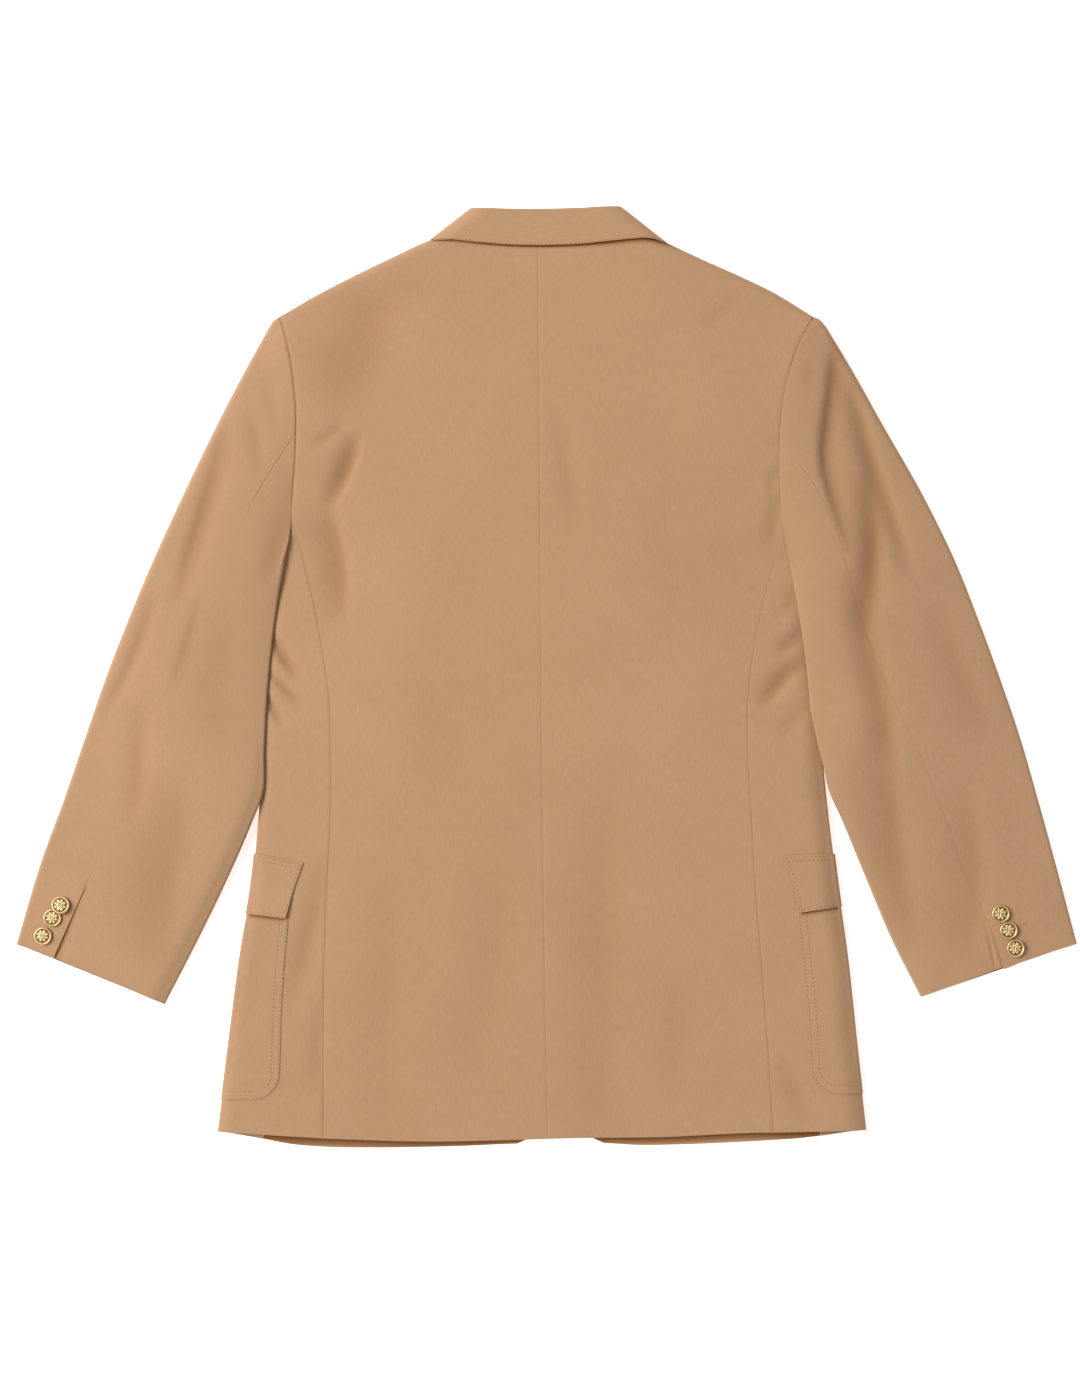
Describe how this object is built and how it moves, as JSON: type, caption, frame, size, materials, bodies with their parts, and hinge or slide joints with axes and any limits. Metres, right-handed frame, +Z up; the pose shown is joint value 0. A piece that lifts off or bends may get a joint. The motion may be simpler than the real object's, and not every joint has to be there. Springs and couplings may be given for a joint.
{
  "type": "two-button blazer",
  "caption": "Single-breasted two-button blazer in tan wool gabardine, laid flat with its back up, with patch-and-flap pockets and gilt dome buttons.",
  "frame": {"origin": "centre of the object's box in plan, on the surface that it lies on", "axes": "+X towards the wearer's right sleeve, +Y towards the collar, +Z up from the surface, out of the back"},
  "size_m": [0.8785, 0.7782, 0.024],
  "materials": {
    "cloth": "tan wool gabardine, pressed, fine twill with a faint sheen",
    "button_metal": "polished gilt brass, domed, with a plain embossed rosette"
  },
  "bodies": {
    "root": {"back_left": "cloth", "back_right": "cloth", "side_left": "cloth", "side_right": "cloth", "front_left": "cloth", "front_right": "cloth", "lapel_left": "cloth", "lapel_right": "cloth", "collar": "cloth", "sleeve_top_left": "cloth", "sleeve_top_right": "cloth", "sleeve_under_left": "cloth", "sleeve_under_right": "cloth", "pocket_left": "cloth", "pocket_right": "cloth", "flap_left": "cloth", "flap_right": "cloth", "cuff_button_left_1": "button_metal", "cuff_button_left_2": "button_metal", "cuff_button_left_3": "button_metal", "cuff_button_right_1": "button_metal", "cuff_button_right_2": "button_metal", "cuff_button_right_3": "button_metal", "front_button_top": "button_metal", "front_button_bottom": "button_metal"}
  },
  "joints": []
}
